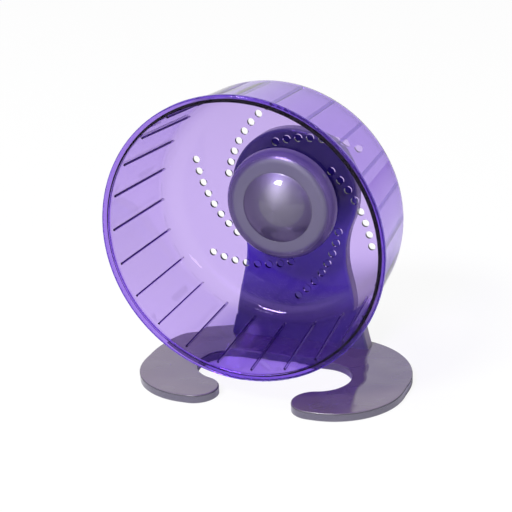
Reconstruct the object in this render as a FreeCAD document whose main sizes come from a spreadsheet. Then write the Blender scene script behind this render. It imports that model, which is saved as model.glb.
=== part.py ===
"""Rodent exercise wheel on a crescent-armed stand.

Millimetres, +Z up, the running side of the drum faces -Y. The origin is the middle of the object's
footprint, on the table. Pieces on the axle are drawn about the wheel's axis, along Y, with y = 0 at the
middle of the drum's back disc, and are then moved to the axle's place.
"""
import FreeCAD, Part
import math
import os
from types import SimpleNamespace

import Sketcher

DRIVING_SIZES = {
    # Stand as a whole
    "drum_clearance": 18.5,
    "disc_setback": 31.75,
    # Base tray
    "base_half_width": 80.4,
    "base_depth": 102.5,
    "base_height": 5.3,
    "base_skin_thickness": 2.2,
    "base_wall": 2.2,
    "base_edge_radius": 0.8,
    "front_corner_share": 0.39,
    "rear_corner_share": 0.504,
    "tip_radius": 13.3,
    "tip_place_share": 0.896,
    "opening_place_share": 0.754,
    "opening_setback_share": 0.06,
    "base_rib_thickness": 1.4,
    # Rubber pads under the base
    "pad_radius": 6.5,
    "pad_stand_off_height": 0.5,
    "pad_edge_gap": 3.0,
    "pad_rib_gap": 1.0,
    # Upright
    "upright_front_y": 17.0,
    "upright_depth": 8.0,
    "upright_wall": 1.8,
    "upright_edge_radius": 2.0,
    "head_radius": 39.2,
    "neck_radius": 52.0,
    "foot_half_width": 44.2,
    "leg_slope": 0.240,
    "axle_boss_radius": 12.0,
    "axle_boss_length": 4.5,
    "head_socket_wall": 3.5,
    # Back cover of the upright
    "cover_thickness": 2.0,
    "cover_clearance": 0.2,
    "cover_head_screw_x": 21.0,
    "cover_head_screw_z": 21.0,
    "cover_foot_screw_x": 27.0,
    "cover_foot_screw_height": 30.0,
    # Screws
    "screw_radius": 1.4,
    "screw_head_radius": 2.7,
    "screw_head_height": 1.2,
    "screw_length": 4.0,
    "screw_clearance": 0.05,
    "screw_head_clearance": 0.2,
    "screw_boss_wall": 1.8,
    "recess_arm_length": 1.5,
    "recess_width": 0.6,
    "recess_depth": 0.7,
    "base_screw_x": 30.0,
    "base_screw_length": 9.0,
    # Axle and what is on it
    "axle_radius": 4.0,
    "axle_clearance": 0.03,
    "axle_end_length": 1.0,
    "hex_half_width": 6.5,
    "hex_clearance": 0.1,
    "bolt_head_height": 4.0,
    "nut_height": 4.0,
    "washer_thickness": 1.2,
    "spacer_radius": 6.0,
    # Ball bearings, front and rear alike
    "bearing_radius": 11.0,
    "bearing_width": 7.0,
    "bearing_gap": 2.0,
    "bearing_stack_y": 2.0,
    "inner_race_radius": 6.2,
    "outer_race_radius": 8.8,
    "ball_radius": 1.98,
    "ball_path_radius": 7.5,
    "ball_clearance": 0.06,
    "cage_thickness": 1.2,
    "cage_width": 4.6,
    "shield_bore_radius": 6.6,
    "shield_seat_radius": 9.4,
    "shield_thickness": 0.4,
    "shield_inset_depth": 0.2,
    # Hub housing
    "press_clearance": 0.02,
    "housing_radius": 14.0,
    "shoulder_radius": 9.8,
    "flange_radius": 29.5,
    "flange_thickness": 2.5,
    "housing_clearance": 0.1,
    # Hub ring and dome
    "hub_radius": 33.2,
    "hub_draft_width": 0.8,
    "hub_height": 9.3,
    "hub_edge_radius": 4.2,
    "hub_wall": 2.0,
    "dome_radius": 20.8,
    "dome_height": 8.0,
    "dome_wall": 1.8,
    "dome_gap": 0.2,
    "dome_flange_width": 1.0,
    "dome_flange_thickness": 1.4,
    "hub_screw_circle_radius": 25.7,
    # Drum
    "rim_radius": 82.5,
    "rim_depth": 69.3,
    "lip_length": 3.2,
    "lip_edge_radius": 1.0,
    "wall_thickness": 1.8,
    "rim_width": 3.9,
    "wall_taper": 6.2,
    "corner_radius": 11.5,
    # Tread ribs
    "rib_width": 1.2,
    "rib_height": 1.0,
    "rib_root_depth": 0.6,
    "rib_front_gap": 5.0,
    "rib_back_gap": 8.6,
    "rib_phase": 1.27,
    # Curved rows of holes in the disc
    "hole_radius": 2.25,
    "row_radius_share": 0.868,
    "row_centre_share": 0.4485,
    "row_centre_angle": 1.74,
    "row_start_angle": 128.5,
    "hole_pitch_angle": 5.74,
}

RIB_COUNT = 24
HOLE_ROWS = 6
HOLES_PER_ROW = 8
BALL_COUNT = 7
HUB_SCREW_COUNT = 3
FULL_TURN = 360.0
HEX_CORNER = 2 / math.sqrt(3)
SAME_LEVEL = 1e-4


class Term:
    """A size with its value and the expression that gives it from the sheet."""

    def __init__(self, text, value):
        self.text = text
        self.value = value

    def joined(self, sign, other, value):
        return Term(f"({self.text} {sign} {other.text})", value)

    def __add__(self, other):
        other = as_term(other)
        return self.joined("+", other, self.value + other.value)

    def __sub__(self, other):
        other = as_term(other)
        return self.joined("-", other, self.value - other.value)

    def __mul__(self, other):
        other = as_term(other)
        return self.joined("*", other, self.value * other.value)

    def __truediv__(self, other):
        other = as_term(other)
        return self.joined("/", other, self.value / other.value)

    def __neg__(self):
        return Term(f"(0 - {self.text})", -self.value)


def as_term(number):
    return number if isinstance(number, Term) else Term(repr(number), number)


def root(term):
    return Term(f"sqrt({term.text})", math.sqrt(term.value))


def cosine(angle):
    return Term(f"cos({angle.text})", math.cos(math.radians(angle.value)))


def sine(angle):
    return Term(f"sin({angle.text})", math.sin(math.radians(angle.value)))


ZERO = Term("0", 0.0)
SIDES = (Term("1", 1.0), Term("(0 - 1)", -1.0))

doc = FreeCAD.newDocument("ExerciseWheel")
sheet = doc.addObject("Spreadsheet::Sheet", "Sizes")
for row, (name, value) in enumerate(DRIVING_SIZES.items(), start=1):
    sheet.set(f"A{row}", str(value))
    sheet.setAlias(f"A{row}", name)
doc.recompute()
size = SimpleNamespace(**{name: Term(f"Sizes.{name}", value) for name, value in DRIVING_SIZES.items()})

sub_parts = []


# Drawing helpers


def origin_feature(body, role):
    return next(item for item in body.Origin.OriginFeatures if item.Role == role)


def new_body(label):
    body = doc.addObject("PartDesign::Body", label)
    body.Label = label
    sub_parts.append(body)
    return body


def move_to_axle(piece):
    """Carry a piece that is drawn about the wheel's axis to the axle's place."""
    piece.setExpression("Placement.Base.y", disc_plane_y.text)
    piece.setExpression("Placement.Base.z", axle_height.text)


def new_sketch(body, plane, offset=None):
    """Sketch on one of the body's own planes, moved along the plane's normal by the offset."""
    sketch = body.newObject("Sketcher::SketchObject", f"{body.Name}_sketch")
    sketch.AttachmentSupport = [(origin_feature(body, plane), "")]
    sketch.MapMode = "FlatFace"
    if offset is not None:
        sketch.setExpression("AttachmentOffset.Base.z", offset.text)
    return sketch


def facing_sketch(body, y):
    """Sketch across the axle at y, with its x to the right and its y up."""
    return new_sketch(body, "XZ_Plane", -y)


def bind(sketch, constraint, term):
    index = sketch.addConstraint(constraint)
    sketch.setExpression(f"Constraints[{index}]", term.text)


def pin_point(sketch, geometry, position, x, y):
    """Hold a point of the sketch at x and y, measured from the sketch's origin."""
    for kind, axis, term in (("DistanceX", -2, x), ("DistanceY", -1, y)):
        if term is ZERO:
            sketch.addConstraint(Sketcher.Constraint("PointOnObject", geometry, position, axis))
        else:
            bind(sketch, Sketcher.Constraint(kind, -1, 1, geometry, position, term.value), term)


def arc_between(start, end, radius, turn):
    """Arc under a half circle from start to end, turning left (+1) or right (-1)."""
    chord = end - start
    rise = math.sqrt(max(radius ** 2 - chord.Length ** 2 / 4, 0.0))
    left = FreeCAD.Vector(-chord.y, chord.x, 0).normalize()
    centre = (start + end) / 2 + left * (rise * turn)
    first, last = (start, end) if turn > 0 else (end, start)
    first_angle = math.atan2(first.y - centre.y, first.x - centre.x)
    last_angle = math.atan2(last.y - centre.y, last.x - centre.x)
    if last_angle < first_angle:
        last_angle += 2 * math.pi
    circle = Part.Circle(centre, FreeCAD.Vector(0, 0, 1), radius)
    return Part.ArcOfCircle(circle, first_angle, last_angle)


def draw_outline(sketch, steps):
    """Draw a closed outline.

    Each step is a corner and how the outline leaves it: None for a straight run, or the radius of an
    arc and the way it turns.
    """
    corners = [FreeCAD.Vector(corner[0].value, corner[1].value, 0) for corner, leave in steps]
    ends = []
    for index, (corner, leave) in enumerate(steps):
        start = corners[index]
        end = corners[(index + 1) % len(corners)]
        if leave is None:
            geometry = sketch.addGeometry(Part.LineSegment(start, end), False)
            ends.append((geometry, 1, 2))
            continue
        radius, turn = leave
        geometry = sketch.addGeometry(arc_between(start, end, radius.value, turn), False)
        ends.append((geometry, 1, 2) if turn > 0 else (geometry, 2, 1))
    for index, (corner, leave) in enumerate(steps):
        geometry, first, last = ends[index]
        following, next_first, next_last = ends[(index + 1) % len(ends)]
        sketch.addConstraint(Sketcher.Constraint("Coincident", geometry, last, following, next_first))
        pin_point(sketch, geometry, first, *corner)
        if leave is not None:
            bind(sketch, Sketcher.Constraint("Radius", geometry, leave[0].value), leave[0])


def draw_polygon(sketch, corners):
    draw_outline(sketch, [(corner, None) for corner in corners])


def draw_circle(sketch, x, y, radius):
    centre = FreeCAD.Vector(x.value, y.value, 0)
    circle = Part.Circle(centre, FreeCAD.Vector(0, 0, 1), radius.value)
    geometry = sketch.addGeometry(circle, False)
    pin_point(sketch, geometry, 3, x, y)
    bind(sketch, Sketcher.Constraint("Radius", geometry, radius.value), radius)


def draw_rectangle(sketch, left, low, right, high):
    draw_polygon(sketch, [(left, low), (right, low), (right, high), (left, high)])


def draw_cross(sketch, x, y):
    """Cross recess of a screw head."""
    arm = size.recess_arm_length
    half = size.recess_width / 2
    draw_polygon(sketch, [
        (x + half, y + half), (x + half, y + arm), (x - half, y + arm), (x - half, y + half),
        (x - arm, y + half), (x - arm, y - half), (x - half, y - half), (x - half, y - arm),
        (x + half, y - arm), (x + half, y - half), (x + arm, y - half), (x + arm, y + half),
    ])


def draw_hexagon(sketch, half_flats):
    """Hexagon about the axle with two corners on the level."""
    across = half_flats * HEX_CORNER
    draw_polygon(sketch, [
        (across, ZERO), (across / 2, half_flats), (-across / 2, half_flats),
        (-across, ZERO), (-across / 2, -half_flats), (across / 2, -half_flats),
    ])


def pad(body, sketch, length, against_normal=False):
    feature = body.newObject("PartDesign::Pad", f"{body.Name}_pad")
    feature.Profile = sketch
    feature.setExpression("Length", length.text)
    feature.Reversed = against_normal
    body.Tip = feature
    return feature


def pocket(body, sketch, depth, along_normal=False):
    feature = body.newObject("PartDesign::Pocket", f"{body.Name}_pocket")
    feature.Profile = sketch
    feature.setExpression("Length", depth.text)
    feature.Reversed = along_normal
    body.Tip = feature
    return feature


def revolve(body, steps):
    """Turn an outline of (radius, y) corners about the wheel's axis."""
    sketch = new_sketch(body, "XY_Plane")
    draw_outline(sketch, steps)
    feature = body.newObject("PartDesign::Revolution", f"{body.Name}_turned")
    feature.Profile = sketch
    feature.ReferenceAxis = (sketch, ["V_Axis"])
    feature.Angle = FULL_TURN
    body.Tip = feature
    return feature


def repeat_about_axle(body, feature, count):
    pattern = body.newObject("PartDesign::PolarPattern", f"{body.Name}_pattern")
    pattern.Originals = [feature]
    pattern.Axis = (origin_feature(body, "Y_Axis"), [""])
    pattern.Angle = FULL_TURN
    pattern.Occurrences = count
    body.Tip = pattern
    return pattern


def ring_section(inner, outer, low, high):
    """Section of a plain ring or sleeve, for revolve."""
    corners = [(inner, low), (outer, low), (outer, high), (inner, high)]
    return [(corner, None) for corner in corners]


def round_edges(body, feature, radius, chosen):
    """Round the edges of a feature that the test picks."""
    doc.recompute()
    names = [f"Edge{i}" for i, edge in enumerate(feature.Shape.Edges, start=1) if chosen(edge)]
    rounding = body.newObject("PartDesign::Fillet", f"{body.Name}_round")
    rounding.Base = (feature, names)
    rounding.setExpression("Radius", radius.text)
    body.Tip = rounding
    return rounding


def lies_at(low, high, level):
    """Tell whether an edge that spans low to high lies at one level."""
    return abs(low - level) < SAME_LEVEL and abs(high - level) < SAME_LEVEL


def polar_places(count, radius):
    """Places about the axle, the first one straight to the right."""
    angles = [as_term(FULL_TURN * index / count) for index in range(count)]
    return [(radius * cosine(angle), radius * sine(angle)) for angle in angles]


# Sizes that follow from the driving ones

axle_height = size.rim_radius + size.drum_clearance
disc_plane_y = size.base_depth / 2 - size.disc_setback
base_front_corner = size.base_depth * size.front_corner_share
base_rear_corner = size.base_depth * size.rear_corner_share
tip_centre_x = (size.base_half_width - base_front_corner) * size.tip_place_share
tip_centre_y = size.tip_radius - size.base_depth / 2
opening_centre_x = tip_centre_x * size.opening_place_share
opening_centre_y = -size.base_depth * size.opening_setback_share
rear_corner_x = size.base_half_width - base_rear_corner
rear_corner_y = size.base_depth / 2 - base_rear_corner
rib_back = disc_plane_y + size.upright_front_y
rear_pad_y = rib_back - size.base_rib_thickness - size.pad_rib_gap - size.pad_radius
wall_front_radius = size.rim_radius - size.rim_width
wall_back_radius = wall_front_radius - size.wall_taper
row_radius = size.rim_radius * size.row_radius_share
row_centre_radius = size.rim_radius * size.row_centre_share

# Levels along the axle, from the front of the hub to the back of the upright

disc_front = -size.wall_thickness / 2
disc_back = size.wall_thickness / 2
bearing_shift = (size.bearing_gap + size.bearing_width) / 2
front_bearing_y = size.bearing_stack_y - bearing_shift
rear_bearing_y = size.bearing_stack_y + bearing_shift
stack_front = front_bearing_y - size.bearing_width / 2
stack_back = rear_bearing_y + size.bearing_width / 2
shoulder_front = size.bearing_stack_y - size.bearing_gap / 2
shoulder_back = size.bearing_stack_y + size.bearing_gap / 2
washer_front = stack_front - size.washer_thickness
nut_front = washer_front - size.nut_height
boss_front = size.upright_front_y - size.axle_boss_length
upright_inside = size.upright_front_y + size.upright_wall
upright_back = size.upright_front_y + size.upright_depth
cover_front = upright_back - size.cover_thickness
foot_level = size.base_height - axle_height
skin_underside = size.base_height - size.base_skin_thickness
screw_hole = size.screw_radius + size.screw_clearance
screw_head_hole = size.screw_head_radius + size.screw_head_clearance
screw_boss = screw_hole + size.screw_boss_wall
cover_screw_places = [
    (side * x, z)
    for x, z in (
        (size.cover_head_screw_x, size.cover_head_screw_z),
        (size.cover_foot_screw_x, foot_level + size.cover_foot_screw_height),
    )
    for side in SIDES
]
base_screw_y = (upright_inside + cover_front) / 2
base_screw_places = [(side * size.base_screw_x, disc_plane_y + base_screw_y) for side in SIDES]


# Stand


def base_outline(inset):
    """Crescent-armed outline of the base, drawn in by the inset all round."""
    side = size.base_half_width - inset
    front = inset - size.base_depth / 2
    rear = size.base_depth / 2 - inset
    front_corner = base_front_corner - inset
    rear_corner = base_rear_corner - inset
    tip = size.tip_radius - inset
    tip_x = tip_centre_x
    tip_y = tip_centre_y
    centre_x = opening_centre_x
    centre_y = opening_centre_y
    run_x = tip_x - centre_x
    run_y = tip_y - centre_y
    reach = root(run_x * run_x + run_y * run_y)
    opening = reach - tip
    meet_x = centre_x + run_x * opening / reach
    meet_y = centre_y + run_y * opening / reach
    back_of_opening = centre_y + opening
    return [
        ((centre_x, back_of_opening), (opening, -1)),
        ((meet_x, meet_y), (tip, 1)),
        ((tip_x, front), None),
        ((side - front_corner, front), (front_corner, 1)),
        ((side, front + front_corner), None),
        ((side, rear - rear_corner), (rear_corner, 1)),
        ((side - rear_corner, rear), None),
        ((rear_corner - side, rear), (rear_corner, 1)),
        ((-side, rear - rear_corner), None),
        ((-side, front + front_corner), (front_corner, 1)),
        ((front_corner - side, front), None),
        ((-tip_x, front), (tip, 1)),
        ((-meet_x, meet_y), (opening, -1)),
        ((-centre_x, back_of_opening), None),
    ]


def reach_inside_rear_corner(y, inset):
    """How far out x goes at y along the base's rear corner, drawn in by the inset."""
    radius = base_rear_corner - inset
    rise = y - rear_corner_y
    return rear_corner_x + root(radius * radius - rise * rise)


def make_base_tray():
    body = new_body("base_tray")
    outline = new_sketch(body, "XY_Plane", size.pad_stand_off_height)
    draw_outline(outline, base_outline(ZERO))
    plate = pad(body, outline, size.base_height - size.pad_stand_off_height)
    top = size.base_height.value
    round_edges(
        body, plate, size.base_edge_radius,
        lambda edge: lies_at(edge.BoundBox.ZMin, edge.BoundBox.ZMax, top))
    hollow = new_sketch(body, "XY_Plane", size.pad_stand_off_height)
    draw_outline(hollow, base_outline(size.base_wall))
    pocket(body, hollow, skin_underside - size.pad_stand_off_height, along_normal=True)
    rib_reach = reach_inside_rear_corner(rib_back, size.base_wall / 2)
    rib = new_sketch(body, "XY_Plane", size.pad_stand_off_height)
    draw_rectangle(rib, -rib_reach, rib_back - size.base_rib_thickness, rib_reach, rib_back)
    pad(body, rib, size.base_height - size.base_skin_thickness / 2 - size.pad_stand_off_height)
    holes = new_sketch(body, "XY_Plane", skin_underside)
    for x, y in base_screw_places:
        draw_circle(holes, x, y, screw_hole)
    pocket(body, holes, size.base_skin_thickness, along_normal=True)


def make_foot_pads():
    body = new_body("foot_pads")
    rear_pad_x = reach_inside_rear_corner(rear_pad_y, size.base_wall + size.pad_edge_gap + size.pad_radius)
    sketch = new_sketch(body, "XY_Plane")
    for side in SIDES:
        draw_circle(sketch, side * tip_centre_x, tip_centre_y, size.pad_radius)
        draw_circle(sketch, side * rear_pad_x, rear_pad_y, size.pad_radius)
    pad(body, sketch, skin_underside)


def make_base_screws():
    body = new_body("base_screws")
    shanks = new_sketch(body, "XY_Plane", skin_underside)
    heads = new_sketch(body, "XY_Plane", skin_underside)
    recesses = new_sketch(body, "XY_Plane", skin_underside - size.screw_head_height)
    for x, y in base_screw_places:
        draw_circle(shanks, x, y, size.screw_radius)
        draw_circle(heads, x, y, size.screw_head_radius)
        draw_cross(recesses, x, y)
    pad(body, shanks, size.base_skin_thickness + size.base_screw_length)
    pad(body, heads, size.screw_head_height, against_normal=True)
    pocket(body, recesses, size.recess_depth, along_normal=True)


def keyhole_outline(inset):
    """Round head, drawn-in neck and flared legs of the upright, drawn in by the inset all round."""
    lean = size.leg_slope
    along_cos = as_term(1) / root(lean * lean + 1)
    along_sin = lean * along_cos
    head = size.head_radius - inset
    neck = size.neck_radius + inset
    foot_z = foot_level + inset
    leg_offset = size.foot_half_width * along_cos + foot_level * along_sin - inset
    drop = root((head + neck) * (head + neck) - (leg_offset + neck) * (leg_offset + neck))
    foot_x = (leg_offset - foot_z * along_sin) / along_cos
    leg_x = leg_offset * along_cos + drop * along_sin
    leg_z = leg_offset * along_sin - drop * along_cos
    neck_x = (leg_offset + neck) * along_cos + drop * along_sin
    neck_z = (leg_offset + neck) * along_sin - drop * along_cos
    share = head / (head + neck)
    return [
        ((-foot_x, foot_z), None),
        ((foot_x, foot_z), None),
        ((leg_x, leg_z), (neck, -1)),
        ((neck_x * share, neck_z * share), (head, 1)),
        ((ZERO, head), (head, 1)),
        ((-neck_x * share, neck_z * share), (neck, -1)),
        ((-leg_x, leg_z), None),
    ]


def make_upright_shell():
    body = new_body("upright_shell")
    outline = facing_sketch(body, size.upright_front_y)
    draw_outline(outline, keyhole_outline(ZERO))
    block = pad(body, outline, size.upright_depth, against_normal=True)
    front = size.upright_front_y.value
    foot = foot_level.value
    round_edges(
        body, block, size.upright_edge_radius,
        lambda edge: lies_at(edge.BoundBox.YMin, edge.BoundBox.YMax, front)
        and not lies_at(edge.BoundBox.ZMin, edge.BoundBox.ZMax, foot))
    hollow = facing_sketch(body, upright_inside)
    draw_outline(hollow, keyhole_outline(size.upright_wall))
    pocket(body, hollow, size.upright_depth - size.upright_wall)
    boss = facing_sketch(body, boss_front)
    draw_circle(boss, ZERO, ZERO, size.axle_boss_radius)
    pad(body, boss, size.axle_boss_length, against_normal=True)
    inner_length = cover_front - upright_inside
    socket = facing_sketch(body, upright_inside)
    socket_half_flats = size.hex_half_width + size.hex_clearance
    draw_circle(socket, ZERO, ZERO, socket_half_flats * HEX_CORNER + size.head_socket_wall)
    draw_hexagon(socket, socket_half_flats)
    pad(body, socket, inner_length, against_normal=True)
    screw_bosses = facing_sketch(body, upright_inside)
    for x, z in cover_screw_places:
        draw_circle(screw_bosses, x, z, screw_boss)
    pad(body, screw_bosses, inner_length, against_normal=True)
    foot_bosses = new_sketch(body, "XY_Plane", foot_level + size.upright_wall)
    for side in SIDES:
        middle = side * size.base_screw_x
        draw_rectangle(foot_bosses, middle - screw_boss, upright_inside, middle + screw_boss, cover_front)
    pad(body, foot_bosses, size.base_screw_length)
    bore = facing_sketch(body, boss_front)
    draw_circle(bore, ZERO, ZERO, size.axle_radius + size.axle_clearance)
    pocket(body, bore, upright_inside - boss_front)
    screw_holes = facing_sketch(body, cover_front - size.screw_length)
    for x, z in cover_screw_places:
        draw_circle(screw_holes, x, z, screw_hole)
    pocket(body, screw_holes, size.screw_length)
    foot_holes = new_sketch(body, "XY_Plane", foot_level)
    for side in SIDES:
        draw_circle(foot_holes, side * size.base_screw_x, base_screw_y, screw_hole)
    pocket(body, foot_holes, size.base_screw_length + size.screw_clearance, along_normal=True)
    move_to_axle(body)


def make_back_cover():
    body = new_body("upright_back_cover")
    outline = facing_sketch(body, cover_front)
    draw_outline(outline, keyhole_outline(size.upright_wall + size.cover_clearance))
    for x, z in cover_screw_places:
        draw_circle(outline, x, z, screw_hole)
    pad(body, outline, size.cover_thickness, against_normal=True)
    seats = facing_sketch(body, upright_back - size.screw_head_height)
    for x, z in cover_screw_places:
        draw_circle(seats, x, z, screw_head_hole)
    pocket(body, seats, size.screw_head_height)
    move_to_axle(body)


def make_back_cover_screws():
    body = new_body("back_cover_screws")
    head_front = upright_back - size.screw_head_height
    tip = cover_front - size.screw_length + size.screw_clearance
    shanks = facing_sketch(body, tip)
    heads = facing_sketch(body, head_front)
    recesses = facing_sketch(body, upright_back - size.recess_depth)
    for x, z in cover_screw_places:
        draw_circle(shanks, x, z, size.screw_radius)
        draw_circle(heads, x, z, size.screw_head_radius)
        draw_cross(recesses, x, z)
    pad(body, shanks, head_front - tip, against_normal=True)
    pad(body, heads, size.screw_head_height, against_normal=True)
    pocket(body, recesses, size.recess_depth)
    move_to_axle(body)


def make_axle_bolt():
    body = new_body("axle_bolt")
    shaft = facing_sketch(body, nut_front - size.axle_end_length)
    draw_circle(shaft, ZERO, ZERO, size.axle_radius)
    pad(body, shaft, upright_inside - nut_front + size.axle_end_length, against_normal=True)
    head = facing_sketch(body, upright_inside)
    draw_hexagon(head, size.hex_half_width)
    pad(body, head, size.bolt_head_height, against_normal=True)
    move_to_axle(body)


def make_axle_nut():
    body = new_body("axle_nut")
    sketch = facing_sketch(body, nut_front)
    draw_hexagon(sketch, size.hex_half_width)
    draw_circle(sketch, ZERO, ZERO, size.axle_radius + size.axle_clearance)
    pad(body, sketch, size.nut_height, against_normal=True)
    move_to_axle(body)


def make_axle_sleeves():
    """Washer under the nut, sleeve between the bearings and collar behind them."""
    bore = size.axle_radius + size.axle_clearance
    for label, low, high in (
        ("axle_washer", washer_front, stack_front),
        ("race_spacer", shoulder_front, shoulder_back),
        ("rear_spacer", stack_back, boss_front),
    ):
        body = new_body(label)
        revolve(body, ring_section(bore, size.spacer_radius, low, high))
        move_to_axle(body)


# Ball bearings


def make_bearing(prefix, middle):
    """Races, shields, cage and balls of one bearing whose middle lies at y = middle."""
    half = size.bearing_width / 2
    groove = size.ball_radius + size.ball_clearance
    low = middle - half
    high = middle + half

    inner = new_body(f"{prefix}_bearing_inner_race")
    depth = size.ball_path_radius - size.inner_race_radius
    inner_half = root(groove * groove - depth * depth)
    bore = size.axle_radius + size.axle_clearance
    revolve(inner, [
        ((bore, low), None),
        ((size.inner_race_radius, low), None),
        ((size.inner_race_radius, middle - inner_half), (groove, -1)),
        ((size.inner_race_radius, middle + inner_half), None),
        ((size.inner_race_radius, high), None),
        ((bore, high), None),
    ])

    outer = new_body(f"{prefix}_bearing_outer_race")
    depth = size.outer_race_radius - size.ball_path_radius
    outer_half = root(groove * groove - depth * depth)
    seat_depth = size.shield_inset_depth + size.shield_thickness
    revolve(outer, [
        ((size.bearing_radius, low), None),
        ((size.bearing_radius, high), None),
        ((size.shield_seat_radius, high), None),
        ((size.shield_seat_radius, high - seat_depth), None),
        ((size.outer_race_radius, high - seat_depth), None),
        ((size.outer_race_radius, middle + outer_half), (groove, -1)),
        ((size.outer_race_radius, middle - outer_half), None),
        ((size.outer_race_radius, low + seat_depth), None),
        ((size.shield_seat_radius, low + seat_depth), None),
        ((size.shield_seat_radius, low), None),
    ])

    shields = new_body(f"{prefix}_bearing_shields")
    shield_edge = size.shield_seat_radius - size.press_clearance
    for edge in (low + size.shield_inset_depth, high - seat_depth):
        section = ring_section(size.shield_bore_radius, shield_edge, edge, edge + size.shield_thickness)
        revolve(shields, section)

    cage = new_body(f"{prefix}_bearing_cage")
    cage_inner = size.ball_path_radius - size.cage_thickness / 2
    cage_outer = size.ball_path_radius + size.cage_thickness / 2
    cage_half = size.cage_width / 2
    revolve(cage, ring_section(cage_inner, cage_outer, middle - cage_half, middle + cage_half))
    window = new_sketch(cage, "YZ_Plane")
    draw_circle(window, middle, ZERO, groove)
    cut = pocket(cage, window, size.bearing_radius, along_normal=True)
    repeat_about_axle(cage, cut, BALL_COUNT)

    balls = []
    for x, z in polar_places(BALL_COUNT, size.ball_path_radius):
        ball = doc.addObject("Part::Sphere", f"{prefix}_ball")
        ball.setExpression("Radius", size.ball_radius.text)
        ball.setExpression("Placement.Base.x", x.text)
        ball.setExpression("Placement.Base.y", middle.text)
        ball.setExpression("Placement.Base.z", z.text)
        balls.append(ball)
    ball_set = doc.addObject("Part::Compound", f"{prefix}_bearing_balls")
    ball_set.Label = f"{prefix}_bearing_balls"
    ball_set.Links = balls
    sub_parts.append(ball_set)
    for piece in (inner, outer, shields, cage, ball_set):
        move_to_axle(piece)


# Wheel


def make_hub_housing():
    body = new_body("hub_housing")
    bore = size.bearing_radius + size.press_clearance
    flange_back = disc_back + size.flange_thickness
    corners = [
        (bore, stack_front), (size.housing_radius, stack_front), (size.housing_radius, disc_back),
        (size.flange_radius, disc_back), (size.flange_radius, flange_back),
        (size.housing_radius, flange_back), (size.housing_radius, stack_back), (bore, stack_back),
        (bore, shoulder_back), (size.shoulder_radius, shoulder_back),
        (size.shoulder_radius, shoulder_front), (bore, shoulder_front),
    ]
    revolve(body, [(corner, None) for corner in corners])
    holes = facing_sketch(body, disc_back)
    for x, z in polar_places(HUB_SCREW_COUNT, size.hub_screw_circle_radius):
        draw_circle(holes, x, z, screw_hole)
    pocket(body, holes, size.flange_thickness)
    move_to_axle(body)


def make_hub_ring():
    body = new_body("hub_ring")
    face = disc_front - size.hub_height
    inside = face + size.hub_wall
    edge = size.hub_radius - size.hub_draft_width
    inner_round = size.hub_edge_radius - size.hub_wall
    bore = size.dome_radius + size.dome_gap
    revolve(body, [
        ((size.hub_radius - size.hub_wall, disc_front), None),
        ((edge - size.hub_wall, face + size.hub_edge_radius), (inner_round, -1)),
        ((edge - size.hub_edge_radius, inside), None),
        ((bore, inside), None),
        ((bore, face), None),
        ((edge - size.hub_edge_radius, face), (size.hub_edge_radius, 1)),
        ((edge, face + size.hub_edge_radius), None),
        ((size.hub_radius, disc_front), None),
    ])
    bosses = facing_sketch(body, inside)
    holes = facing_sketch(body, inside)
    for x, z in polar_places(HUB_SCREW_COUNT, size.hub_screw_circle_radius):
        draw_circle(bosses, x, z, screw_boss)
        draw_circle(holes, x, z, screw_hole)
    pad(body, bosses, disc_front - inside, against_normal=True)
    pocket(body, holes, disc_front - inside)
    move_to_axle(body)


def make_hub_dome():
    body = new_body("hub_dome")
    face = disc_front - size.hub_height
    inside = face + size.hub_wall
    sphere = size.dome_radius * size.dome_radius / (size.dome_height * 2) + size.dome_height / 2
    centre = face - size.dome_height + sphere
    hollow = sphere - size.dome_wall
    flange_back = inside + size.dome_flange_thickness
    skirt = size.dome_radius - size.dome_wall
    hollow_start = centre - root(hollow * hollow - skirt * skirt)
    flange = size.dome_radius + size.dome_gap + size.dome_flange_width
    revolve(body, [
        ((ZERO, face - size.dome_height), (sphere, 1)),
        ((size.dome_radius, face), None),
        ((size.dome_radius, inside), None),
        ((flange, inside), None),
        ((flange, flange_back), None),
        ((skirt, flange_back), None),
        ((skirt, hollow_start), (hollow, -1)),
        ((ZERO, centre - hollow), None),
    ])
    move_to_axle(body)


def make_hub_screws():
    body = new_body("hub_screws")
    seat = disc_back + size.flange_thickness
    tip = disc_front - size.hub_height + size.hub_wall + size.screw_clearance
    shanks = facing_sketch(body, tip)
    heads = facing_sketch(body, seat)
    recesses = facing_sketch(body, seat + size.screw_head_height - size.recess_depth)
    for x, z in polar_places(HUB_SCREW_COUNT, size.hub_screw_circle_radius):
        draw_circle(shanks, x, z, size.screw_radius)
        draw_circle(heads, x, z, size.screw_head_radius)
        draw_cross(recesses, x, z)
    pad(body, shanks, seat - tip, against_normal=True)
    pad(body, heads, size.screw_head_height, against_normal=True)
    pocket(body, recesses, size.recess_depth)
    move_to_axle(body)


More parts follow.
